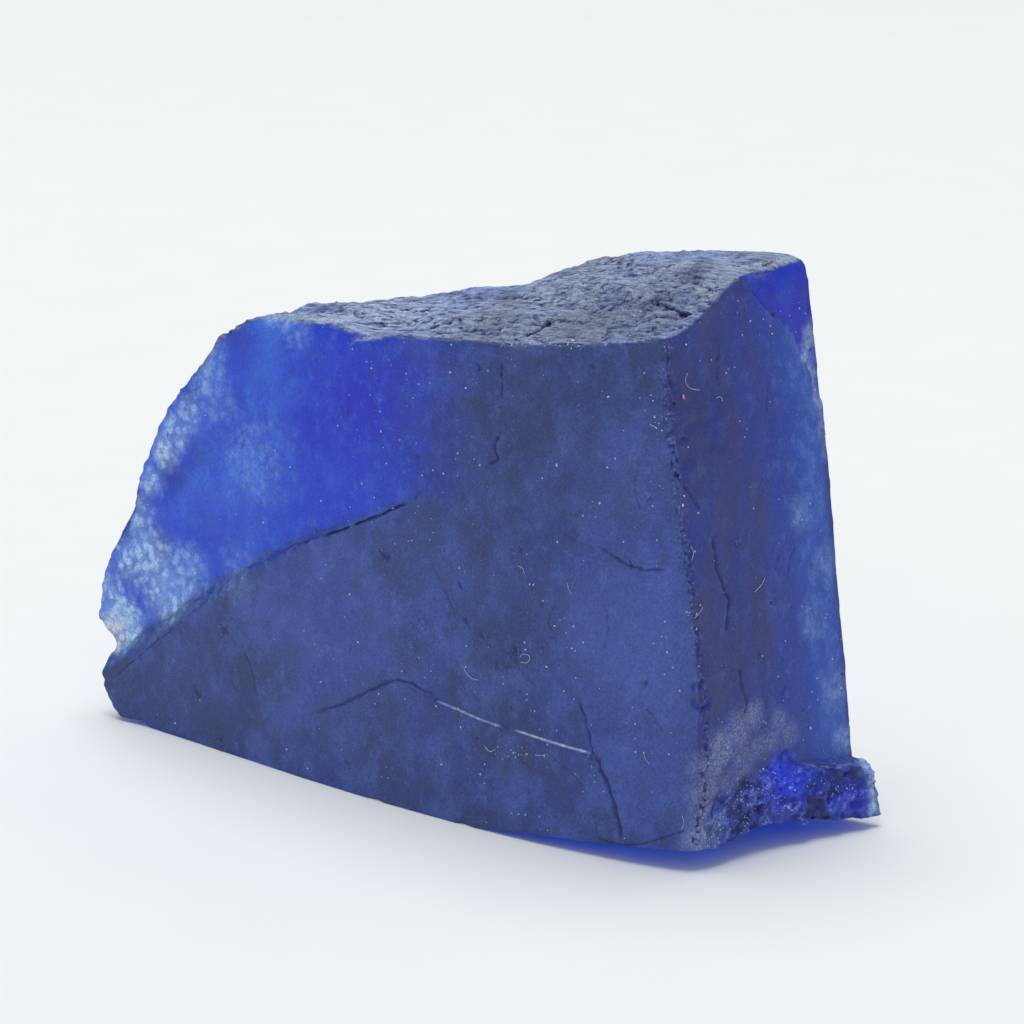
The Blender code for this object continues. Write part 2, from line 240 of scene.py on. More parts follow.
def line_distance(points, line):
    """Distance of each point from a bent line, and the share of the line's length there."""
    best = np.full(len(points), 1e9)
    share = np.zeros(len(points))
    steps = np.linalg.norm(np.diff(line, axis=0), axis=1)
    starts = np.concatenate([[0.0], np.cumsum(steps)])
    for start, end, length, before in zip(line, line[1:], steps, starts):
        run = end - start
        part = np.clip((points - start) @ run / length ** 2, 0.0, 1.0)
        far = np.linalg.norm(points - start - part[:, None] * run, axis=1)
        nearer = far < best
        best[nearer] = far[nearer]
        share[nearer] = (before + part[nearer] * length) / starts[-1]
    return best, share


# ---------------------------------------------------------------- working on a piece

def make_active(piece):
    bpy.ops.object.select_all(action="DESELECT")
    piece.select_set(True)
    bpy.context.view_layer.objects.active = piece


def join(pieces):
    """Join pieces into the first of them."""
    make_active(pieces[0])
    for piece in pieces[1:]:
        piece.select_set(True)
    bpy.ops.object.join()
    return pieces[0]


def add_modifier(piece, kind, **values):
    """Add one modifier and apply it."""
    modifier = piece.modifiers.new(kind.lower(), kind)
    for key, value in values.items():
        setattr(modifier, key, value)
    make_active(piece)
    bpy.ops.object.modifier_apply(modifier=modifier.name)


def read(items, key, width=1):
    """One property of all vertices or faces of a mesh, as an array."""
    values = np.zeros(len(items) * width)
    items.foreach_get(key, values)
    return values.reshape(-1, width) if width > 1 else values


def move_vertices(piece, places):
    """Put a piece's vertices at places, in metres."""
    piece.data.vertices.foreach_set("co", places.ravel())
    piece.data.update()


def refine(piece, chosen):
    """Split each chosen face into four."""
    make_active(piece)
    bpy.ops.object.mode_set(mode="EDIT")
    bpy.ops.mesh.select_mode(type="FACE")
    bpy.ops.mesh.select_all(action="DESELECT")
    mesh = bmesh.from_edit_mesh(piece.data)
    mesh.faces.ensure_lookup_table()
    for index in np.flatnonzero(chosen):
        mesh.faces[int(index)].select_set(True)
    bpy.ops.mesh.subdivide(number_cuts=1)
    bpy.ops.object.mode_set(mode="OBJECT")


def keep_weights(piece, name, weights):
    """Keep weights as a vertex group, for modifiers."""
    group = piece.vertex_groups.new(name=name)
    for index in np.flatnonzero(weights > 0.001):
        group.add([int(index)], float(weights[index]), "REPLACE")


def keep_values(piece, name, values):
    """Keep values as an attribute, for materials."""
    layer = piece.data.attributes.new(name + "_map", "FLOAT", "POINT")
    layer.data.foreach_set("value", values.astype(np.float32))


# ---------------------------------------------------------------- the stone's form

SHARP = 0.55  # radians between two faces whose edge stays sharp
SHARP_CREASE = 0.75
SMOOTH_UP_TO = math.radians(50.0)
PASSES = 5  # how often cells that are too large are split

# Size of the mesh's cells on each part of the surface
PLAIN_CELL = 0.66
BACK_CELL = 0.50
UNDER_CELL = 1.1
END_CELL = 0.30
LOBE_EDGE_CELL = 0.235
TOP_CELL = 0.20
FINE_CELL = 0.16
HAIR_CELL = 0.085
FAINT_CELL = 0.12
LEDGE_CELL = 0.055
CELL_GROWTH = 0.8  # how fast the cells grow with the distance from a thin line
LOBE_TO_X = -18.0
TOP_FROM_Z = 20.0
FINE_LINES = {
    # name: (how far the fine cells reach, how far down the surface may face)
    "near edge": (0.8, -1.1),
    "foot": (2.7, -0.4),
    "strip": (0.475, -1.1),
    "pit": (0.55, -1.1),
}


def copy_of_solid(node, name):
    """A copy of a solid in quads, with facets rounded a little and sharp edges kept."""
    piece = bpy.data.objects.new(name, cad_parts[node].data.copy())
    bpy.context.scene.collection.objects.link(piece)
    piece.data.materials.clear()
    make_active(piece)
    bpy.ops.object.mode_set(mode="EDIT")
    bpy.ops.mesh.select_all(action="SELECT")
    bpy.ops.mesh.customdata_custom_splitnormals_clear()
    bpy.ops.mesh.remove_doubles(threshold=0.001 * MM)
    bpy.ops.mesh.tris_convert_to_quads(face_threshold=math.radians(35.0),
                                       shape_threshold=math.radians(55.0))
    bpy.ops.mesh.select_mode(type="EDGE")
    bpy.ops.mesh.select_all(action="DESELECT")
    bpy.ops.mesh.edges_select_sharp(sharpness=SHARP)
    bpy.ops.object.mode_set(mode="OBJECT")
    sharp = read(piece.data.edges, "select")
    creases = piece.data.edge_creases_ensure()
    creases.data.foreach_set("value", (sharp * SHARP_CREASE).astype(np.float32))
    even_far_edge(piece)
    add_modifier(piece, "SUBSURF", levels=1, render_levels=1)
    return piece


EVEN_ROUNDS = 14


def even_far_edge(piece):
    """Even out the long edge between the end face and the back, along its own run."""
    mesh = bmesh.new()
    mesh.from_mesh(piece.data)
    mesh.normal_update()
    chain = [edge for edge in mesh.edges if joins_end_and_back(edge)]
    for _ in range(EVEN_ROUNDS):
        beside = {}
        for edge in chain:
            first, second = edge.verts
            beside.setdefault(first, []).append(second.co.copy())
            beside.setdefault(second, []).append(first.co.copy())
        for vert, others in beside.items():
            if len(others) == 2:
                vert.co = vert.co.lerp((others[0] + others[1]) / 2.0, 0.5)
    mesh.to_mesh(piece.data)
    mesh.free()


def joins_end_and_back(edge):
    """Whether an edge lies between a face that looks along +X and one that looks along +Y."""
    if len(edge.link_faces) != 2:
        return False
    first, second = (face.normal for face in edge.link_faces)
    if first.x < second.x:
        first, second = second, first
    return first.x > 0.7 and second.y > 0.7 and edge.calc_face_angle() > SHARP


class Surface:
    """Arrays of the places and normals of a piece's vertices or faces."""

    def __init__(self, places, normals):
        self.places = places / MM
        self.normals = normals

    @classmethod
    def of_vertices(cls, piece):
        return cls(read(piece.data.vertices, "co", 3), read(piece.data.vertices, "normal", 3))

    @classmethod
    def of_faces(cls, piece):
        return cls(read(piece.data.polygons, "center", 3), read(piece.data.polygons, "normal", 3))

    def near(self, line, inner, outer):
        """1 within inner of a line, and 0 beyond outer."""
        far, _ = line_distance(self.places, line)
        return 1.0 - smooth(inner, outer, far)

    def spot(self, place, inner, outer):
        """1 within inner of a place, and 0 beyond outer."""
        far = np.linalg.norm(self.places - np.array(place), axis=1)
        return 1.0 - smooth(inner, outer, far)


def cell_sizes(surface, lines):
    """The size that the mesh's cells should have at each place."""
    n_x, n_y, n_z = surface.normals.T
    x, _, z = surface.places.T
    size = np.full(len(x), PLAIN_CELL)
    size[n_y > 0.4] = BACK_CELL
    size[n_z < -0.5] = UNDER_CELL
    size[n_x > 0.5] = END_CELL
    size[(n_x < -0.4) | ((x < LOBE_TO_X) & (n_y < 0.0))] = LOBE_EDGE_CELL
    size[(n_z > 0.35) & (z > TOP_FROM_Z)] = TOP_CELL
    for name, (reach, lowest) in FINE_LINES.items():
        far, _ = line_distance(surface.places, lines[name])
        size[(far < reach) & (n_z > lowest)] = FINE_CELL
    for name in [*CRACKS, *LEDGES, *(name for name in lines if name.startswith("back"))]:
        far, _ = line_distance(surface.places, lines[name])
        finest = FAINT_CELL if name.startswith(("faint", "back")) else HAIR_CELL
        finest = LEDGE_CELL if name in LEDGES else finest
        size = np.minimum(size, np.maximum(finest, far * CELL_GROWTH))
    return size


RAGGED_STEP = 0.22
RAGGED_SHIFT = 0.11
RAGGED_TURNS = 1.7  # how often it wanders to and fro in a millimetre
# Where the noise for each axis of the wander starts
RAGGED_STARTS = [Vector((0.0, 0.0, 0.0)), Vector((31.4, 0.0, 0.0)), Vector((0.0, 47.2, 0.0))]


def ragged(line):
    """A bent line broken into short steps that wander to both sides of it."""
    steps = np.linalg.norm(np.diff(line, axis=0), axis=1)
    starts = np.concatenate([[0.0], np.cumsum(steps)])
    marks = np.linspace(0.0, starts[-1], max(3, int(starts[-1] / RAGGED_STEP)))
    points = np.stack([np.interp(marks, starts, line[:, axis]) for axis in range(3)], axis=1)
    for point in points[1:-1]:
        place = Vector(point * RAGGED_TURNS)
        point += RAGGED_SHIFT * np.array([noise.noise(place + start) for start in RAGGED_STARTS])
    return points


def lines_on(touch):
    """Every named line, carried onto the stone."""
    lines = {name: touch.line(points) for name, points in LINES.items()}
    lines.update({name: touch.line(points) for name, (*_, points) in LEDGES.items()})
    lines.update({name: ragged(touch.line(points)) for name, (*_, points) in CRACKS.items()})
    lines.update({f"back {number}": ragged(touch.line_behind(points))
                  for number, points in enumerate(BACK_CRACKS)})
    return lines


def spots(surface, touch, places):
    """The strongest of several soft spots at each point."""
    total = np.zeros(len(surface.places))
    for px, py, inner, outer, share in places:
        total = np.maximum(total, share * surface.spot(touch.at(px, py)[0], inner, outer))
    return total


# Soft patches of colour: size along X, Y and Z, octaves, seed
PATCHES = {
    "broad": ((6.5, 6.5, 6.5), 2, 1.0),
    "cloud": ((2.4, 2.4, 3.0), 3, 2.0),
    "streaks": ((1.0, 1.6, 6.0), 3, 3.0),
}


def patches(surface, size, octaves, seed):
    """Soft random patches of a size along X, Y and Z, mostly between 0 and 1."""
    shift = Vector((17.3, 5.1, 9.7)) * seed
    heights = [noise.fractal(Vector(point) + shift, 1.0, 2.0, octaves)
               for point in surface.places / np.array(size)]
    return np.clip(0.5 + 0.6 * np.array(heights), 0.0, 1.0)


# Where the parts of the surface begin and end, in millimetres along X, Y or Z
LOBE_FADES = (-5.0, 8.5)  # X over which the clear lobe turns to slate
TOP_RISES = (22.0, 27.0)
MOUND_RISES = (1.0, 9.0)  # X over which the top turns to the mound
RIM_FROM_Z = 21.0
THIN_EDGE_CLEAR_FROM_Z = 9.0  # above it the thin edge is less clouded
LEDGE_TO_X = -5.0
LEDGE_TO_Z = 16.0
FOOT_FROM_X = 8.0
FOOT_TO_Z = 6.0
FAR_HALF = (-1.5, 5.5)  # Y over which the end face turns from purple slate to clear blue
BACK_BAND = (2.5, 6.5)
# and in pixels across or down the picture
FOOT_FROM_PIXEL = (700.0, 712.0)
FACET_ENDS = (395.0, 403.0)
BEVEL_STARTS = (312.0, 330.0)
BEVEL_ENDS = (440.0, 470.0)
WANDER_SIZE = (1.2, 1.2, 1.2)  # size of the swings by which borders wander


def step_height(x, lines):
    """Height of the step's line across the front, at each x."""
    corners = np.concatenate([lines["ledge top"][::-1], lines["step"][::-1]])
    return np.interp(x, corners[:, 0], corners[:, 2])


def stone_zones(surface, touch, lines):
    """How much each point of the stone has of each surface and look, from 0 to 1."""
    n_x, n_y, n_z = surface.normals.T
    x, y, z = surface.places.T
    wander = patches(surface, WANDER_SIZE, 3, 4.0) - 0.5
    front = smooth(0.5, 0.85, -n_y)
    top = smooth(0.35, 0.7, n_z) * smooth(*TOP_RISES, z)
    mound = smooth(*MOUND_RISES, x)
    end = smooth(0.35, 0.6, n_x)
    thin = smooth(0.2, 0.5, -n_x) * (1.0 - end)
    above_step = smooth(0.0, 0.6, z - step_height(x, lines))
    lobe = above_step * (1.0 - smooth(*LOBE_FADES, x + 3.0 * wander)) * np.maximum(front, thin)
    foot = foot_zone(surface, lines, wander)
    facet, bevel = end_corner_zones(surface, end, wander)
    crack, groove = crack_zones(surface, lines)
    strip, _ = line_distance(surface.places, lines["strip"])
    zones = {name: spots(surface, touch, rows) for name, rows in SPOTS.items()}
    zones["pale"] *= 1.0 - 0.5 * thin * (z > THIN_EDGE_CLEAR_FROM_Z)
    zones["rough"] = np.clip(zones["rough"] + 0.5 * wander, 0.0, 1.0) * (zones["rough"] > 0.02)
    zones.update({
        "front": front * (1.0 - lobe),
        "rim": smooth(0.1, 0.35, n_z) * smooth(0.1, 0.35, np.maximum(-n_y, n_x)) * (z > RIM_FROM_Z),
        "back": smooth(0.3, 0.6, n_y) * (1.0 - surface.near(lines["far edge"], 0.3, 1.6)),
        "top": top * (1.0 - mound),
        "mound": top * mound,
        "end": end * (1.0 - foot) * (1.0 - surface.near(lines["far edge"], 0.1, 0.5)),
        "thin": thin,
        "under": smooth(0.8, 0.97, -n_z),
        "lobe": lobe,
        "foot": foot,
        "ledge": smooth(0.2, 0.5, n_z) * smooth(0.2, 0.5, -n_y) * (x < LEDGE_TO_X) * (z < LEDGE_TO_Z),
        "pit": surface.near(lines["pit"], 0.02, 0.30) * smooth(0.2, 0.5, n_x - 0.6 * n_y)
               * smooth(-0.15, 0.1, wander),
        "crack": crack,
        "groove": groove,
        "strip": (1.0 - smooth(*STRIP_WIDTH, strip)) * (n_y < -0.2),
        "painted_glint": painted_glint(surface, lines),
        "flake": flake(surface, lines),
        "crumble": surface.near(lines["near edge"], 0.1, 0.5 + 0.9 * wander),
        "facet": facet,
        "bevel": bevel,
        "far": end * smooth(*FAR_HALF, y),
        "back band": end * smooth(*BACK_BAND, y),
        "far rim": surface.near(lines["far edge"], 0.1, 0.7),
    })
    return zones


def foot_zone(surface, lines, wander):
    """The granular foot, below its ragged top line."""
    n_x, n_y, _ = surface.normals.T
    x, _, z = surface.places.T
    across, down = in_picture(surface.places)
    foot_top = np.array(FOOT_TOP, dtype=float)
    below_top = down - np.interp(across, foot_top[:, 0], foot_top[:, 1])
    foot = smooth(-5.0, 7.0, below_top + 14.0 * wander) * smooth(*FOOT_FROM_PIXEL, across)
    foot *= smooth(-0.3, 0.2, n_x - 0.2 * n_y) * (z < FOOT_TO_Z) * (x > FOOT_FROM_X)
    middle = surface.near(lines["foot"], 1.0, 1.5) * smooth(-0.3, 0.2, n_x + 0.3 * n_y)
    return np.maximum(foot, middle)


def end_corner_zones(surface, end, wander):
    """The flat facet in the top corner of the end face, and the pale bevel below it."""
    across, down = in_picture(surface.places)
    facet = smooth(-1.5, 1.5, right_of(FACET_EDGE, across, down) + 6.0 * wander)
    facet *= end * (1.0 - smooth(*FACET_ENDS, down))
    bevel = smooth(-2.0, 2.0, right_of(BEVEL_EDGE, across, down) + 10.0 * wander)
    bevel *= end * smooth(*BEVEL_STARTS, down) * (1.0 - smooth(*BEVEL_ENDS, down))
    return facet, bevel


CRACK_MEAN_WIDTH = 0.95
CRACK_SWELLS = [(0.25, 23.0, 0.0), (0.15, 61.0, 1.0)]  # share of the width, waves, where they start
STRIP_WIDTH = (0.04, 0.18)
PAINTED_GLINT_WIDTH = (0.015, 0.075)


def crack_zones(surface, lines):
    """How much of each point is inside a crack, and how deep its groove is there."""
    crack = np.zeros(len(surface.places))
    groove = np.zeros(len(surface.places))
    rows = {name: row[:-1] for name, row in CRACKS.items()}
    rows.update({name: BACK_CRACK for name in lines if name.startswith("back")})
    for name, (width, depth, dark) in rows.items():
        far, share = line_distance(surface.places, lines[name])
        ends = smooth(0.0, 0.12, share) * (1.0 - smooth(0.88, 1.0, share))
        wide = width * (CRACK_MEAN_WIDTH + sum(swell * np.sin(waves * share + start)
                                               for swell, waves, start in CRACK_SWELLS))
        crack = np.maximum(crack, (1.0 - smooth(0.2 * wide, 1.4 * wide, far)) * ends * dark)
        groove = np.maximum(groove, (1.0 - smooth(0.0, 1.5 * wide, far)) * ends * depth)
    return crack, groove


def painted_glint(surface, lines):
    """Painted glints: bright lines painted along the edge of the ledge across the lower front, and
    along the rim of the foot.
    """
    total = np.zeros(len(surface.places))
    for name, (bright, _) in LEDGES.items():
        far, share = line_distance(surface.places, lines[name])
        ends = smooth(0.0, 0.15, share) * (1.0 - smooth(0.9, 1.0, share))
        broken = 0.75 + 0.25 * np.sin(37.0 * share) * np.sin(15.0 * share + 1.0)
        total = np.maximum(total, (1.0 - smooth(*PAINTED_GLINT_WIDTH, far)) * ends * bright * broken)
    return total


FLAKE_REACH = 2.6
FLAKE_RISES = 4.0  # length over which it rises, from its left end


def flake(surface, lines):
    """The low flake under the ledge, which stands proud at its upper edge."""
    x, y, z = surface.places.T
    edge = np.concatenate([lines["v"][2:], lines["ledge"], lines["ledge end"]])
    drop = np.interp(x, edge[:, 0], edge[:, 2]) - z
    inside = (x > edge[0, 0]) & (x < edge[-1, 0]) & (surface.normals[:, 1] < -0.5)
    share = smooth(-0.05, 0.12, drop) * (1.0 - smooth(0.2, FLAKE_REACH, drop))
    return inside * share * smooth(edge[0, 0], edge[0, 0] + FLAKE_RISES, x)


# Roughness: zone, kind of lumps, height, size along X, Y and Z, and turn about Z
ALONG = 0.05
UP_MOUND = 0.6
ROUGHENINGS = [
    ("top", "CLOUDS", 0.45, (3.4, 1.4, 1.5), ALONG),
    ("top", "CLOUDS", 0.12, (1.8, 0.6, 0.6), ALONG),
    ("top", "MUSGRAVE", 0.07, (2.0, 0.36, 0.36), ALONG),
    ("mound", "CLOUDS", 0.55, (3.4, 1.5, 1.5), UP_MOUND),
    ("mound", "CLOUDS", 0.17, (2.2, 0.7, 0.7), UP_MOUND),
    ("mound", "MUSGRAVE", 0.08, (2.0, 0.36, 0.36), UP_MOUND),
    ("rim", "CLOUDS", 0.36, (0.8, 0.8, 0.5), 0.0),
    ("front", "CLOUDS", 0.06, (3.0, 3.0, 3.0), 0.0),
    ("lobe", "CLOUDS", 0.14, (2.4, 2.4, 2.0), 0.0),
    ("end", "CLOUDS", 0.12, (1.4, 1.4, 4.5), 0.0),
    ("facet", "CLOUDS", 0.05, (0.8, 0.8, 0.8), 0.0),
    ("thin", "VORONOI", -0.22, (0.7, 0.7, 0.7), 0.0),
    ("thin", "CLOUDS", 0.18, (0.5, 0.5, 0.5), 0.0),
    ("back", "CLOUDS", 0.30, (3.0, 1.0, 0.8), 0.0),
    ("back", "CLOUDS", 0.12, (0.9, 0.9, 0.5), 0.0),
    ("under", "CLOUDS", 0.25, (1.6, 1.6, 1.6), 0.0),
    ("foot", "CLOUDS", 0.34, (1.4, 1.4, 1.1), 0.3),
    ("rough", "CLOUDS", 0.16, (0.35, 0.35, 0.35), 0.5),
    ("crumble", "CLOUDS", 0.35, (0.4, 0.4, 0.5), 0.0),
    ("far rim", "CLOUDS", 0.20, (0.5, 0.5, 1.3), 0.0),
    ("ledge", "CLOUDS", 0.14, (1.2, 0.6, 0.5), 0.0),
]
# How far zones are moved out, or in where that is below zero
PUSHES = {"flake": 0.16, "facet": -0.10, "pit": -0.12, "groove": -1.0}


def roughen(piece, zone, kind, height, size, turn):
    """Move one zone of a piece in and out by a solid pattern of lumps."""
    pattern = bpy.data.textures.new(zone, kind)
    pattern.noise_scale = 1.0
    if kind == "MUSGRAVE":
        pattern.musgrave_type = "RIDGED_MULTIFRACTAL"
        pattern.octaves = 3.0
    if kind == "CLOUDS":
        pattern.noise_depth = 2
    bpy.ops.object.empty_add(rotation=(0.0, 0.0, turn))
    guide = bpy.context.object
    guide.scale = [value * MM for value in size]
    bpy.context.view_layer.update()
    add_modifier(piece, "DISPLACE", texture=pattern, texture_coords="OBJECT",
                 texture_coords_object=guide, vertex_group=zone, strength=height * MM,
                 mid_level=0.5)
    bpy.data.objects.remove(guide)


# Angular grains of the broken foot: size, how far their facets tilt, how far they step
GRAINS = [(0.85, 0.26, 0.14), (0.36, 0.20, 0.07)]
GRAINS_ELSEWHERE = 0.45  # share of them in the frosted patch and along the crumbled edge


def angular_grains(surface, size, seed):
    """For the grain that each point lies in, its own share, and the tilt of its facet there."""
    shares = np.zeros(len(surface.places))
    tilts = np.zeros(len(surface.places))
    for index, place in enumerate(surface.places / size + 7.3 * seed):
        place = Vector(place)
        middle = noise.voronoi(place)[1][0]
        own = noise.cell_vector(middle * 31.7) - Vector((0.5, 0.5, 0.5))
        shares[index] = own.z + 0.5
        tilts[index] = (place - middle).dot(own)
    return shares, tilts


def add_grains(piece, surface, zone):
    """Break a zone of a piece into angular grains, and keep each grain's share."""
    inside = np.flatnonzero(zone > 0.001)
    part = Surface(surface.places[inside] * MM, surface.normals[inside])
    rise = np.zeros(len(inside))
    total = np.zeros(len(zone))
    for seed, (size, tilt, step) in enumerate(GRAINS):
        shares, tilts = angular_grains(part, size, seed + 1.0)
        rise += tilt * tilts + step * (shares - 0.5)
        total[inside] += shares / len(GRAINS)
    places = read(piece.data.vertices, "co", 3)
    normals = read(piece.data.vertices, "normal", 3)
    places[inside] += normals[inside] * (rise * zone[inside] * MM)[:, None]
    move_vertices(piece, places)
    keep_values(piece, "grain", total)


def push(piece, zone, height):
    """Move one zone of a piece out by a height, or in where that is below zero."""
    add_modifier(piece, "DISPLACE", vertex_group=zone, strength=height * MM, mid_level=0.0)


def make_stone():
    """The stone itself, in place of the plain solid."""
    piece = copy_of_solid("stone", "tanzanite")
    touch = Touch(piece.data)
    lines = lines_on(touch)
    lines["far edge"] = far_edge(piece)
    for _ in range(PASSES):
        surface = Surface.of_faces(piece)
        area = read(piece.data.polygons, "area") / MM ** 2
        refine(piece, area > cell_sizes(surface, lines) ** 2)
    surface = Surface.of_vertices(piece)
    zones = stone_zones(surface, touch, lines)
    for name in dict.fromkeys([*PUSHES, *(row[0] for row in ROUGHENINGS)]):
        keep_weights(piece, name, zones[name])
    for name, values in zones.items():
        keep_values(piece, name, values)
    for name, (size, octaves, seed) in PATCHES.items():
        keep_values(piece, name, patches(surface, size, octaves, seed))
    for zone, height in PUSHES.items():
        push(piece, zone, height)
    for zone, kind, height, size, turn in ROUGHENINGS:
        roughen(piece, zone, kind, height, size, turn)
    broken = zones["foot"] + GRAINS_ELSEWHERE * (zones["rough"] + zones["crumble"])
    add_grains(piece, surface, np.clip(broken, 0.0, 1.0))
    round_corner(piece, touch)
    keep_in_box(piece)
    # how deep each point lies, for the painted shade in hollows
    keep_values(piece, "cavity", cavities(piece))
    piece.vertex_groups.clear()
    make_active(piece)
    bpy.ops.object.shade_smooth_by_angle(angle=SMOOTH_UP_TO)
    return piece


def far_edge(piece):
    """The places along the edge between the end face and the back, from low to high."""
    mesh = bmesh.new()
    mesh.from_mesh(piece.data)
    mesh.normal_update()
    places = {tuple(vert.co / MM) for edge in mesh.edges if joins_end_and_back(edge)
              for vert in edge.verts}
    mesh.free()
    return np.array(sorted(places, key=lambda place: place[2]))


CAVITY_DEPTH = 0.11  # how far below its surroundings a point is when it counts as a full cavity


def cavities(piece):
    """How deep each point lies among its neighbours: 0 on a ridge, 0.5 on the flat, 1 in a pit."""
    places = read(piece.data.vertices, "co", 3) / MM
    normals = read(piece.data.vertices, "normal", 3)
    ends = np.zeros(len(piece.data.edges) * 2, dtype=np.int32)
    piece.data.edges.foreach_get("vertices", ends)
    first, second = ends.reshape(-1, 2).T
    count = np.bincount(ends, minlength=len(places))[:, None]
    height = np.zeros(len(places))
    around = places
    for _ in range(2):
        total = np.zeros_like(places)
        np.add.at(total, first, around[second])
        np.add.at(total, second, around[first])
        around = total / count
        height = height + np.sum((around - places) * normals, axis=1)
    return np.clip(0.5 + height / CAVITY_DEPTH / 2.0, 0.0, 1.0)


CORNER = (805, 262)  # the top corner at the far end, in the picture
CORNER_LIFT = 0.30
CORNER_LIFTED = (0.5, 4.5)  # distances from the corner over which the lift dies out
CORNER_ROUNDED = (2.5, 4.0)
CORNER_MIDDLE = (-1.1, 0.0, -0.85)  # middle of the rounding, from the corner
CORNER_ROUND = 1.15


def round_corner(piece, touch):
    """Lift the top corner at the far end a little, and take its point off."""
    places = read(piece.data.vertices, "co", 3) / MM
    corner = np.array(touch.at(*CORNER)[0])
    away = places - corner
    far = np.linalg.norm(away, axis=1)
    places[:, 2] += CORNER_LIFT * (1.0 - smooth(*CORNER_LIFTED, far))
    middle = corner + np.array(CORNER_MIDDLE)
    out = places - middle
    reach = np.linalg.norm(out * (1.0, 0.35, 1.0), axis=1)
    held = np.where((out[:, 0] > 0.0) & (out[:, 2] > 0.0) & (reach > CORNER_ROUND),
                    CORNER_ROUND / np.maximum(reach, 1e-6), 1.0)
    near = (1.0 - smooth(*CORNER_ROUNDED, far))[:, None]
    rounded = middle + out * held[:, None]
    places = places + (rounded - places) * near * np.array((1.0, 0.0, 1.0))
    move_vertices(piece, places * MM)


def keep_in_box(piece):
    """Hold the roughened surface inside the solid's box, so that the stone keeps its size."""
    places = read(piece.data.vertices, "co", 3)
    move_vertices(piece, np.clip(places, np.array(cad_low), np.array(cad_high)))


# ---------------------------------------------------------------- materials

class Paint:
    """The nodes of one material, with a short call for each kind that is used."""

    def __init__(self, name):
        self.material = bpy.data.materials.new(name)
        self.material.use_nodes = True
        self.tree = self.material.node_tree
        self.shader = self.tree.nodes["Principled BSDF"]
        place = self.tree.nodes.new("ShaderNodeTexCoord")
        self.place = self.node("ShaderNodeVectorMath", {0: place.outputs["Object"],
                                                        1: (1.0 / MM,) * 3},
                               operation="MULTIPLY").outputs[0]

    def node(self, kind, inputs, **settings):
        """Add a node, set what it does, and link or set its inputs."""
        made = self.tree.nodes.new(kind)
        for key, value in settings.items():
            setattr(made, key, value)
        for key, value in inputs.items():
            self.feed(made.inputs[key], value)
        return made

    def feed(self, socket, value):
        """Link a socket to a node, or set its value: a colour is given without its alpha."""
        if isinstance(value, bpy.types.NodeSocket):
            self.tree.links.new(value, socket)
        elif socket.type == "RGBA":
            socket.default_value = (*value, 1.0)
        else:
            socket.default_value = value

    def sized(self, size, turn=(0.0, 0.0, 0.0)):
        """Places divided by a size along X, Y and Z."""
        turned = self.node("ShaderNodeMapping", {"Vector": self.place, "Rotation": turn})
        return self.node("ShaderNodeVectorMath", {0: turned.outputs[0], 1: size},
                         operation="DIVIDE").outputs[0]

    def grain(self, size, detail=3.0, rough=0.5, turn=(0.0, 0.0, 0.0)):
        """Smooth random lumps of a size, from 0 to 1."""
        return self.node("ShaderNodeTexNoise", {
            "Vector": self.sized(size, turn), "Scale": 1.0, "Detail": detail,
            "Roughness": rough}).outputs["Fac"]

    def cells(self, size, grain, warp):
        """Distance to the middle of random cells of a size, pulled out of shape by a grain."""
        pulled = self.node("ShaderNodeVectorMath", {0: grain.node.outputs["Color"],
                                                    1: (warp,) * 3, 2: self.sized(size)},
                           operation="MULTIPLY_ADD").outputs[0]
        return self.node("ShaderNodeTexVoronoi", {"Vector": pulled, "Scale": 1.0},
                         feature="F1").outputs["Distance"]

    def level(self, value, low, high, to_low=0.0, to_high=1.0):
        """Carry a range onto another one, softly, and stop at its ends."""
        return self.node("ShaderNodeMapRange", {
            "Value": value, "From Min": low, "From Max": high, "To Min": to_low,
            "To Max": to_high}, interpolation_type="SMOOTHSTEP").outputs[0]

    def maths(self, operation, first, second):
        """Two numbers worked into one, which is held between 0 and 1."""
        return self.node("ShaderNodeMath", {0: first, 1: second}, operation=operation,
                         use_clamp=True).outputs[0]

    def times(self, first, second):
        return self.maths("MULTIPLY", first, second)

    def zone(self, name):
        return self.node("ShaderNodeAttribute", {}, attribute_name=name + "_map").outputs["Fac"]

    def blurred(self, name, pattern, amount):
        """A zone whose border wanders with a pattern."""
        shifted = self.node("ShaderNodeMath", {0: pattern, 1: amount, 2: -amount / 2.0},
                            operation="MULTIPLY_ADD").outputs[0]
        total = self.node("ShaderNodeMath", {0: self.zone(name), 1: shifted},
                          operation="ADD").outputs[0]
        return self.node("ShaderNodeClamp", {"Value": total}).outputs[0]

    def mix_values(self, share, first, second):
        """One number turning into another."""
        return self.node("ShaderNodeMapRange", {"Value": share, "To Min": first,
                                                "To Max": second}).outputs[0]

    def mix(self, share, first, second):
        """One colour turning into another."""
        return self.node("ShaderNodeMix", {0: share, 6: first, 7: second},
                         data_type="RGBA").outputs[2]

    def layered(self, colour, layers):
        """A colour with others laid over it, each by its own share."""
        for share, over in layers:
            colour = self.mix(share, colour, over)
        return colour

    def scaled(self, colour, factor):
        """A colour made darker or lighter by a factor."""
        return self.node("ShaderNodeVectorMath", {0: colour, "Scale": factor},
                         operation="SCALE").outputs[0]

    def bump(self, height, strength, distance, below=None):
        """Raise the shading by a height pattern, on top of another one."""
        inputs = {"Height": height, "Strength": strength, "Distance": distance * MM}
        if below is not None:
            inputs["Normal"] = below
        return self.node("ShaderNodeBump", inputs).outputs[0]

    def finish(self, **sockets):
        """Feed the shader's sockets, and give back the material."""
        for name, value in sockets.items():
            self.feed(self.shader.inputs[name.replace("_", " ")], value)
        return self.material


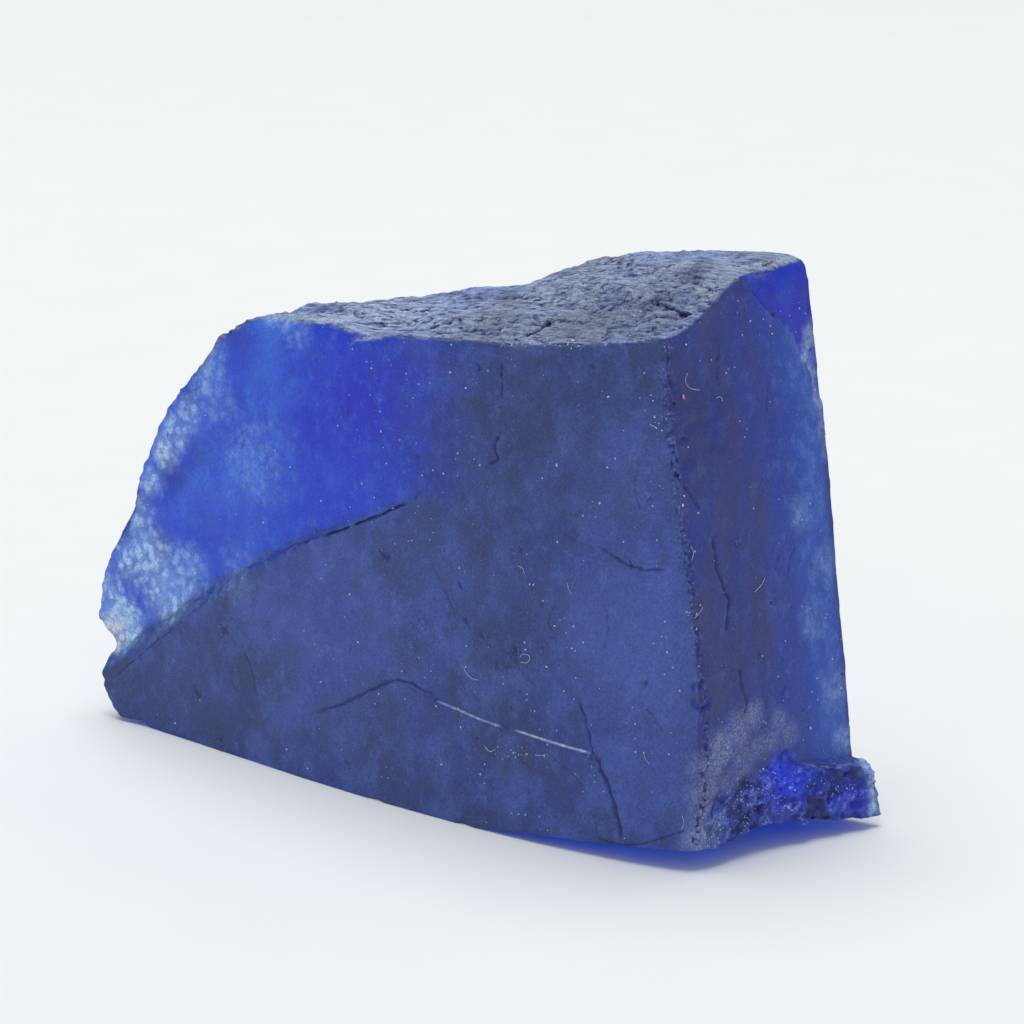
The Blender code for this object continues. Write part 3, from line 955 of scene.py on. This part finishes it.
SLATE = (0.019, 0.050, 0.272)
SLATE_BLUE = (0.050, 0.102, 0.440)
SLATE_GREY = (0.016, 0.044, 0.180)
PURPLE_SLATE = (0.021, 0.031, 0.205)
NEAR_BLUE = (0.005, 0.028, 0.265)
FAR_BLUE = (0.001, 0.045, 0.430)
FAR_SKY = (0.050, 0.160, 0.600)
# The lobe's blues are partly its own clearer colour and partly a painted glow, for light that comes
# through the thin stone from behind
LOBE_BLUE = (0.001, 0.062, 0.720)
LOBE_SKY = (0.040, 0.190, 0.900)
LOBE_INK = (0.001, 0.025, 0.330)
VIOLET = (0.001, 0.010, 0.620)
FACET_BLUE = (0.000, 0.020, 0.520)
FOOT_DARK_AND_SHADE = (0.000, 0.004, 0.110)
FOOT_LIGHT = (0.001, 0.030, 0.400)
FOOT_PALE_AND_GLINT = (0.150, 0.240, 0.780)
FOOT_GLOW = (0.003, 0.036, 0.850)
BREAK_GREY = (0.320, 0.390, 0.540)
BREAK_BLUE = (0.260, 0.350, 0.640)
BREAK_ASH = (0.200, 0.250, 0.320)
BREAK_LIGHT = (0.420, 0.530, 0.760)
BREAK_SLATE = (0.090, 0.130, 0.260)
BREAK_DEEP_AND_SHADE = (0.004, 0.012, 0.110)
ROUGH_GREY = (0.260, 0.320, 0.580)
PALE = (0.420, 0.660, 1.000)
PALE_ROSE = (0.700, 0.720, 0.900)
BEVEL = (0.250, 0.350, 0.680)
LEDGE_BLUE = (0.020, 0.060, 0.300)
LEDGE_PALE = (0.110, 0.180, 0.460)
PAINTED_GLINT_WHITE = (0.560, 0.660, 0.880)
CRACK_INK_AND_SHADE = (0.001, 0.004, 0.110)
STRIP_BLUE = (0.001, 0.014, 0.520)
PIT_BLUE = (0.000, 0.018, 0.300)
UNDERSIDE_PAINTED_GLOW = (0.0, 0.05, 0.55)  # painted glow: the underside gives off blue light, standing in for light that comes through the stone, so the floor under it turns blue
PAINTED_GLOW_STRENGTH = 0.45
GRAIN_DARK = 0.77  # how dark and light the finest grain makes a colour
GRAIN_LIGHT = 1.21
STONE_IOR = 1.69
SHINE = 0.38
CLEAR_BORDER = 0.3  # how far the border of a zone wanders with the mottle
LOOSE_BORDER = 0.5
MOTTLE_SIZE = (0.9, 0.9, 1.1)
FINE_SIZE = (0.15, 0.15, 0.15)
FINE_BUMP = 0.03
FIBRE_SIZE = (1.5, 0.26, 0.20)
FIBRE_TURN = (0.0, 0.0, -0.25)
FIBRE_BUMP = 0.14
LUMP_SIZE = (0.62, 0.62, 0.62)  # the pale lumps inside the thin edge
LUMP_WARP = 1.3


def stone_paint():
    """Slate blue, brighter where the stone is thin, partly as a painted glow of light through it, and
    violet there, grey where it broke, with painted shade in its hollows, painted glints on its ledges
    and a painted glow underneath.
    """
    paint = Paint("tanzanite")
    mottle = paint.grain(MOTTLE_SIZE, 3.0, 0.6)
    fine = paint.grain(FINE_SIZE, 2.0, 0.65)
    fibres = paint.grain(FIBRE_SIZE, 3.0, 0.7, turn=FIBRE_TURN)
    cells = paint.cells(LUMP_SIZE, mottle, LUMP_WARP)

    facet = paint.mix(paint.level(paint.zone("cloud"), 0.5, 0.9, 0.0, 0.4), FACET_BLUE, LOBE_BLUE)
    rough = paint.times(paint.zone("rough"), paint.level(fine, 0.34, 0.68, 0.32, 0.72))
    top = paint.maths("ADD", paint.zone("top"), paint.zone("mound"))
    ledge = paint.mix(paint.level(mottle, 0.5, 0.8), LEDGE_BLUE, LEDGE_PALE)
    bevel = paint.times(paint.blurred("bevel", mottle, LOOSE_BORDER),
                        paint.level(cells, 0.75, 0.3, 0.45, 1.0))
    # painted shade: a dark line along the far edge
    far_edge_shade = paint.times(paint.zone("far rim"), paint.level(mottle, 0.3, 0.6, 0.15, 0.7))
    pale_grains, pit_shade = crumbled(paint, fine)
    colour = paint.layered(slate_colour(paint, mottle), [
        (paint.zone("end"), end_colour(paint, mottle)),
        (paint.zone("facet"), facet),
        (paint.blurred("lobe", mottle, CLEAR_BORDER), lobe_colour(paint, mottle)),
        (rough, ROUGH_GREY),
        (paint.blurred("foot", mottle, CLEAR_BORDER), foot_colour(paint, fine)),
        (top, broken_colour(paint, mottle, fibres)),
        (paint.zone("ledge"), ledge),
        (bevel, BEVEL),
        (far_edge_shade, LOBE_INK),
        (frost(paint, mottle, cells), paint.mix(paint.zone("rose"), PALE, PALE_ROSE)),
        (pale_grains, PALE),
        # painted shade in the pits of the crumbled edge
        (pit_shade, CRACK_INK_AND_SHADE),
        (paint.times(paint.zone("pit"), 0.7), PIT_BLUE),
        (paint.zone("strip"), STRIP_BLUE),
        # painted highlight: bright lines along the ledges and the foot's rim
        (paint.zone("painted_glint"), PAINTED_GLINT_WHITE),
        (paint.zone("crack"), CRACK_INK_AND_SHADE)])
    colour = paint.scaled(colour, paint.level(fine, 0.32, 0.68, GRAIN_DARK, GRAIN_LIGHT))

    gloss = paint.mix_values(top, paint.level(mottle, 0.3, 0.7, 0.50, 0.60), 0.8)
    grain_gloss = paint.level(paint.zone("grain"), 0.2, 0.8, 0.6, 0.2)
    gloss = paint.mix_values(paint.zone("foot"), gloss, grain_gloss)
    bump = paint.bump(fine, 0.5, FINE_BUMP)
    bump = paint.bump(fibres, top, FIBRE_BUMP, bump)
    # painted glow: the underside shines blue by emission
    painted_glow = paint.times(paint.zone("under"), PAINTED_GLOW_STRENGTH)
    return paint.finish(Base_Color=colour, Roughness=gloss, Normal=bump, IOR=STONE_IOR,
                        Specular_IOR_Level=SHINE, Emission_Color=UNDERSIDE_PAINTED_GLOW,
                        Emission_Strength=painted_glow)


def slate_colour(paint, mottle):
    """The dull broad face: slate with bluer and greyer patches."""
    return paint.layered(SLATE_GREY, [
        (paint.level(paint.zone("broad"), 0.3, 0.65), SLATE),
        (paint.level(paint.zone("cloud"), 0.35, 0.8, 0.0, 0.65), SLATE_BLUE),
        (paint.level(mottle, 0.48, 0.30, 0.0, 0.75), SLATE_GREY),
        (paint.zone("ink"), SLATE_GREY),
        (paint.zone("blue"), SLATE_BLUE),
        (paint.level(mottle, 0.4, 0.8, 0.0, 0.35), SLATE_BLUE)])


def end_colour(paint, mottle):
    """The end face: purple slate near the front, and clearer blue towards the back."""
    streaks = paint.zone("streaks")
    near = paint.mix(paint.level(streaks, 0.3, 0.8, 0.0, 0.6), PURPLE_SLATE, NEAR_BLUE)
    band = paint.times(paint.zone("back band"), paint.level(mottle, 0.36, 0.66, 0.25, 0.9))
    far = paint.layered(FAR_BLUE, [(paint.level(mottle, 0.5, 0.85, 0.0, 0.6), FAR_SKY),
                                   (band, FAR_SKY)])
    return paint.mix(paint.blurred("far", streaks, LOOSE_BORDER), near, far)


def lobe_colour(paint, mottle):
    """The thin lobe: clear blue with paler clouds, and violet where it thickens; its brightness is
    partly a painted glow of light coming through it.
    """
    cloud = paint.zone("cloud")
    violet = paint.times(paint.blurred("violet", cloud, LOOSE_BORDER),
                         paint.level(mottle, 0.35, 0.7, 1.0, 0.72))
    return paint.layered(LOBE_BLUE, [
        (paint.level(cloud, 0.35, 0.85, 0.0, 0.8), LOBE_SKY),
        (paint.level(mottle, 0.45, 0.8, 0.0, 0.5), LOBE_SKY),
        (violet, VIOLET),
        (paint.times(paint.zone("thin"), paint.level(mottle, 0.4, 0.6, 0.5, 1.0)), LOBE_INK),
        (paint.blurred("ink", mottle, LOOSE_BORDER), LOBE_INK)])


def foot_colour(paint, fine):
    """The crystalline foot: each grain ultramarine, navy, or pale on its edges, with painted shade in
    its hollows and pale flecks that are partly painted glints.
    """
    grain = paint.zone("grain")
    lit = paint.mix(paint.zone("violet"), FOOT_LIGHT, FOOT_GLOW)
    # dark grains, and painted shade where the surface lies below its neighbours
    shade = paint.maths("ADD", paint.level(grain, 0.58, 0.30, 0.0, 0.8),
                        paint.level(paint.zone("cavity"), 0.5, 0.9, 0.0, 0.5))
    shade = paint.maths("SUBTRACT", shade, paint.times(paint.zone("violet"), 0.5))
    colour = paint.mix(shade, lit, FOOT_DARK_AND_SHADE)
    # pale grain edges, partly painted glints
    pale_flecks_and_glints = paint.times(paint.level(grain, 0.62, 0.82),
                         paint.level(fine, 0.45, 0.62, 0.1, 0.8))
    return paint.mix(pale_flecks_and_glints, colour, FOOT_PALE_AND_GLINT)


def broken_colour(paint, mottle, fibres):
    """The fibrous broken top: grey-blue ridges, with deep blue strands and painted shade in the
    hollows between them.
    """
    strands = paint.times(paint.level(fibres, 0.60, 0.40, 0.0, 0.9),
                          paint.level(mottle, 0.35, 0.6, 1.0, 0.5))
    # painted shade where the surface lies below its neighbours, with the dark fibre strands
    deep = paint.maths("ADD", paint.level(paint.zone("cavity"), 0.5, 0.9, 0.0, 0.6), strands)
    return paint.layered(BREAK_BLUE, [
        (paint.level(paint.zone("broad"), 0.35, 0.6), BREAK_GREY),
        (paint.zone("ash"), BREAK_ASH),
        (paint.level(paint.zone("cloud"), 0.55, 0.15, 0.0, 0.6), BREAK_SLATE),
        (paint.zone("light"), BREAK_LIGHT),
        (deep, BREAK_DEEP_AND_SHADE)])


def frost(paint, mottle, cells):
    """How white the clouded lumps inside the thin edge are."""
    lumps = paint.times(paint.level(mottle, 0.35, 0.60, 0.6, 1.0),
                        paint.level(cells, 0.65, 0.25, 0.40, 1.0))
    return paint.times(paint.zone("pale"), lumps)


def crumbled(paint, fine):
    """How much of the crumbled edge is pale grains, and how much is painted shade in the hollows
    between.
    """
    share = paint.zone("crumble")
    return (paint.times(share, paint.level(fine, 0.58, 0.75, 0.0, 0.4)),
            paint.times(share, paint.level(paint.zone("cavity"), 0.45, 0.75, 0.0, 0.9)))


# ---------------------------------------------------------------- dust, crumbs, lint and a hair

SEED = 11
DUST_COUNT = 2600
DUST_SIZES = (0.014, 0.095)
DUST_SMALLNESS = 9.0  # the larger it is, the more of the dust is small
DUST_SINK = 0.3  # share of a speck's size that is below the surface
SPECK_SHAPE = Vector((1.0, 0.6, 0.45))
SPECK_FLATNESS = 0.55

# How dusty each side of the stone is
DUST_ALL_OVER = 0.15
DUST_ON_END = 0.7
DUST_ON_TOP = 0.8
DUST_ON_LOBE = 0.25
DUST_ON_FRONT = 1.0  # what the front has more than the lobe
DUST_RISES = (-14.0, 2.0)  # X over which it does
DUST_THINNEST = 0.10  # between the patches of dust

# Larger specks of dust: place in the picture, radius
BIG_DUST = [(466, 388, 0.10), (474, 459, 0.06), (480, 465, 0.08), (557, 465, 0.12), (600, 503, 0.11),
            (683, 505, 0.12), (657, 540, 0.06), (413, 398, 0.06), (393, 508, 0.09), (345, 617, 0.06),
            (200, 700, 0.07), (576, 678, 0.06), (574, 699, 0.06), (527, 694, 0.07), (475, 692, 0.05),
            (575, 651, 0.06), (750, 321, 0.09), (742, 335, 0.07), (770, 326, 0.08), (763, 319, 0.06),
            (711, 360, 0.06), (726, 373, 0.07), (728, 369, 0.05), (684, 496, 0.08), (688, 447, 0.07),
            (651, 395, 0.06), (660, 486, 0.05), (696, 614, 0.12), (687, 612, 0.08), (700, 605, 0.07),
            (785, 641, 0.08), (810, 728, 0.13), (803, 740, 0.06), (791, 742, 0.05), (763, 769, 0.09),
            (490, 318, 0.09), (484, 321, 0.06), (430, 332, 0.06), (596, 318, 0.05), (345, 330, 0.06),
            (503, 331, 0.10), (512, 345, 0.08), (573, 341, 0.14), (568, 344, 0.09), (600, 338, 0.07),
            (630, 336, 0.08), (556, 345, 0.06), (586, 340, 0.06), (648, 337, 0.06), (526, 346, 0.06),
            (400, 440, 0.06), (386, 464, 0.05), (275, 450, 0.06), (560, 620, 0.05), (640, 398, 0.05)]
PINK_SPECKS = [(683, 397, 0.17), (402, 671, 0.10), (527, 754, 0.12), (788, 807, 0.16),
               (770, 402, 0.07)]

# Groups of crumbs: place in the picture, spread in pixels, how many. The groups on the foot are partly
# painted glints: pale specks where the crystals would sparkle.
CRUMBS = [(708, 838, 11, 60), (722, 824, 9, 24), (748, 827, 9, 12), (768, 822, 9, 9),
          (690, 612, 7, 6), (545, 346, 14, 12), (575, 345, 12, 12), (605, 339, 14, 14),
          (640, 337, 14, 12), (668, 345, 9, 8), (515, 343, 14, 10), (470, 338, 18, 8),
          (505, 751, 16, 26), (585, 762, 12, 7), (691, 550, 4, 5), (672, 440, 4, 4),
          (668, 415, 4, 3), (821, 410, 4, 5), (806, 790, 5, 4), (763, 770, 5, 5), (840, 792, 12, 6),
          (330, 322, 12, 6), (450, 335, 20, 6), (735, 795, 30, 70), (765, 790, 20, 40),
          (800, 785, 24, 40), (845, 790, 16, 50), (712, 760, 12, 24), (735, 735, 10, 18),
          (704, 800, 8, 18), (755, 812, 24, 30), (765, 725, 10, 12)]
CRUMB_SIZES = (0.03, 0.10)

# Fibres that lie on the stone, each along a path in the picture
LINT = [[(754, 592), (758, 588), (762, 583), (764, 578)],
        [(687, 373), (685, 380), (687, 386), (692, 389), (699, 390)],
        [(520, 657), (524, 654), (530, 657), (528, 662), (521, 662)],
        [(464, 667), (467, 673), (472, 678), (479, 680)],
        [(644, 753), (646, 759), (650, 764)],
        [(519, 566), (523, 568), (525, 574)],
        [(568, 583), (569, 589), (572, 594)],
        [(650, 424), (656, 427)],
        [(682, 815), (684, 822), (682, 829)],
        [(536, 755), (542, 755), (547, 754)],
        [(485, 746), (490, 751), (496, 749)],
        [(690, 546), (693, 553), (691, 560)],
        [(702, 607), (699, 613), (694, 618)],
        [(716, 398), (720, 397), (722, 401)]]
LINT_THICK = 0.022
LINT_LIFT = 0.02
HAIR = [(598, 838), (612, 843), (628, 845), (645, 843), (662, 838), (684, 831)]
HAIR_THICK = 0.026

DUST_WHITE = (0.600, 0.710, 1.000)
CRUMB_AND_GLINT_WHITE = (0.380, 0.490, 0.950)
LINT_WHITE = (0.45, 0.52, 0.76)
HAIR_BROWN = (0.020, 0.018, 0.022)
PINK = (0.90, 0.30, 0.50)


def plain_paint(name, colour, size, gloss):
    """A colour that varies a little from grain to grain."""
    paint = Paint(name)
    share = paint.level(paint.grain((size, size, size), 2.0, 0.6), 0.3, 0.7)
    darker = tuple(value * 0.6 for value in colour)
    bump = paint.bump(share, 0.5, size * 0.2)
    return paint.finish(Base_Color=paint.mix(share, darker, colour), Roughness=gloss, Normal=bump,
                        IOR=STONE_IOR)


def model_crumb():
    """One angular crumb with a radius of 1, from which all specks are copied."""
    bpy.ops.mesh.primitive_ico_sphere_add(subdivisions=1, radius=1.0, location=(0.0, 0.0, 0.0))
    bpy.ops.object.mode_set(mode="EDIT")
    bpy.ops.mesh.select_all(action="SELECT")
    bpy.ops.transform.vertex_random(offset=0.35, uniform=0.0, normal=0.0, seed=SEED)
    bpy.ops.mesh.normals_make_consistent(inside=False)
    bpy.ops.object.mode_set(mode="OBJECT")
    return bpy.context.object


def scatter(name, crumb, specks):
    """Join copies of a crumb, each with its place, size and turn, into one piece."""
    copies = []
    for place, size, turn in specks:
        copy = bpy.data.objects.new(name, crumb.data.copy())
        stretch = SPECK_SHAPE * size * MM
        copy.data.transform(Matrix.LocRotScale(Vector(place) * MM, turn, stretch))
        bpy.context.scene.collection.objects.link(copy)
        copies.append(copy)
    piece = join(copies)
    piece.name = name
    return piece


def lay(draw, place, normal, size):
    """One speck lying on the surface: where it is, how big, and how it is turned."""
    spin = Matrix.Rotation(draw.uniform(0.0, math.tau), 3, "Z")
    turn = Vector(normal).to_track_quat("Z", "Y").to_matrix() @ spin
    middle = Vector(place) + Vector(normal) * size * (SPECK_FLATNESS - DUST_SINK)
    return middle, size, turn.to_quaternion()


def inside_box(speck):
    """Whether a speck is wholly inside the stone's box."""
    place, size, _ = speck
    return all(cad_low[axis] + size * MM < place[axis] * MM < cad_high[axis] - size * MM
               for axis in range(3))


def settle_dust(stone, draw):
    """Specks spread over the stone: many on the front and the top, few behind, none below."""
    surface = Surface.of_faces(stone)
    x = surface.places[:, 0]
    n_x, n_y, n_z = surface.normals.T
    share = np.full(len(x), DUST_ALL_OVER)
    share[n_x > 0.5] = DUST_ON_END
    share[n_y < -0.5] = DUST_ON_LOBE + DUST_ON_FRONT * smooth(*DUST_RISES, x[n_y < -0.5])
    share[n_z > 0.5] = DUST_ON_TOP
    share[n_z < -0.4] = 0.0
    share *= DUST_THINNEST + smooth(0.45, 0.75, patches(surface, (1.8, 1.8, 1.8), 3, 5.0))
    area = read(stone.data.polygons, "area")
    faces = draw.choices(range(len(x)), weights=(share * area).tolist(), k=DUST_COUNT)
    specks = []
    for face in faces:
        large = draw.random() ** DUST_SMALLNESS
        size = DUST_SIZES[0] + (DUST_SIZES[1] - DUST_SIZES[0]) * large
        specks.append(lay(draw, surface.places[face], surface.normals[face], size))
    return [speck for speck in specks if inside_box(speck)]


def add_specks(stone, touch):
    """Dust, crumbs and pink specks, each kind as one piece."""
    draw = random.Random(SEED)
    crumb = model_crumb()
    dust = settle_dust(stone, draw)
    dust += [lay(draw, *touch.at(px, py), size) for px, py, size in BIG_DUST]
    crumbs = []
    for px, py, spread, count in CRUMBS:
        for _ in range(count):
            spot = touch.at(px + draw.gauss(0.0, spread / 2.0), py + draw.gauss(0.0, spread / 2.5))
            size = draw.uniform(*CRUMB_SIZES) * draw.uniform(0.4, 1.0)
            crumbs.append(lay(draw, *spot, size))
    pink = [lay(draw, *touch.at(px, py), size) for px, py, size in PINK_SPECKS]
    kinds = [("dust", dust, plain_paint("dust", DUST_WHITE, 0.05, 0.35)),
             ("crumbs", crumbs, plain_paint("crumbs", CRUMB_AND_GLINT_WHITE, 0.08, 0.18)),
             ("pink_specks", pink, plain_paint("pink_specks", PINK, 0.06, 0.6))]
    for name, specks, material in kinds:
        piece = scatter(name, crumb, [speck for speck in specks if inside_box(speck)])
        piece.data.materials.append(material)
        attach(piece, "root")
    bpy.data.objects.remove(crumb)


def lay_fibre(name, pixels, thick, touch):
    """A round fibre that follows the surface along a path in the picture."""
    bpy.ops.curve.primitive_bezier_curve_add(location=(0.0, 0.0, 0.0))
    fibre = bpy.context.object
    fibre.name = name
    points = fibre.data.splines[0].bezier_points
    points.add(len(pixels) - len(points))
    for point, pixel in zip(points, pixels):
        place, normal = touch.at(*pixel)
        point.co = (place + normal * (thick + LINT_LIFT)) * MM
        point.handle_left_type = "AUTO"
        point.handle_right_type = "AUTO"
    fibre.data.resolution_u = 6
    fibre.data.bevel_depth = thick * MM
    fibre.data.bevel_resolution = 1
    fibre.data.use_fill_caps = True
    make_active(fibre)
    bpy.ops.object.convert(target="MESH")
    return bpy.context.object


def add_fibres(touch):
    """The pale lint as one piece, and the dark hair along the lower front edge."""
    lint = join([lay_fibre("lint", pixels, LINT_THICK, touch) for pixels in LINT])
    hair = lay_fibre("hair", HAIR, HAIR_THICK, touch)
    for piece, paint in ((lint, plain_paint("lint", LINT_WHITE, 0.1, 0.7)),
                         (hair, plain_paint("hair", HAIR_BROWN, 0.1, 0.5))):
        piece.data.materials.append(paint)
        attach(piece, "root")


# ---------------------------------------------------------------- floor, light and camera

FLOOR_RADIUS = 1.4
FLOOR_DROP = 0.02 * MM
FLOOR_COLOUR = (0.882, 0.895, 0.893)
FLOOR_TINT = 1.01  # how much lighter its paler patches are
FLOOR_PATCHES = (9.0, 9.0, 9.0)
SKY = (0.905, 0.95, 0.985)
SKY_STRENGTH = 0.42
LAMP_AT = (-0.15, 0.05, 1.5)
LAMP_SIZE = 1.3
LAMP_WATTS = 17.0


def make_floor():
    bpy.ops.mesh.primitive_circle_add(vertices=96, radius=FLOOR_RADIUS, fill_type="NGON",
                                      location=(0.0, 0.0, -FLOOR_DROP))
    floor = bpy.context.object
    floor.name = "floor"
    paint = Paint("floor_paper")
    tint = paint.level(paint.grain(FLOOR_PATCHES, 3.0), 0.3, 0.7)
    colour = paint.mix(tint, FLOOR_COLOUR, tuple(value * FLOOR_TINT for value in FLOOR_COLOUR))
    floor.data.materials.append(paint.finish(Base_Color=colour, Roughness=0.85))
    return floor


def light_scene():
    world = bpy.data.worlds.new("soft_sky")
    world.use_nodes = True
    background = world.node_tree.nodes["Background"]
    background.inputs["Color"].default_value = (*SKY, 1.0)
    background.inputs["Strength"].default_value = SKY_STRENGTH
    bpy.context.scene.world = world
    aim = Vector(LAMP_AT).to_track_quat("Z", "Y").to_euler()
    bpy.ops.object.light_add(type="AREA", location=LAMP_AT, rotation=aim)
    lamp = bpy.context.object.data
    lamp.shape = "DISK"
    lamp.size = LAMP_SIZE
    lamp.energy = LAMP_WATTS


def add_camera():
    aim = (CAMERA_AT - CAMERA_AIM).to_track_quat("Z", "Y").to_euler()
    bpy.ops.object.camera_add(location=CAMERA_AT * MM, rotation=aim)
    camera = bpy.context.object
    camera.data.lens = LENS
    camera.data.sensor_width = SENSOR
    camera.data.clip_start = NEAREST
    camera.data.clip_end = FURTHEST
    bpy.context.scene.camera = camera
    bpy.context.scene.view_settings.view_transform = "Standard"


stone = make_stone()
stone.data.materials.append(stone_paint())
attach(stone, "root")
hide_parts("stone")

finished = Touch(stone.data)
add_specks(stone, finished)
add_fibres(finished)

make_floor()
light_scene()
add_camera()
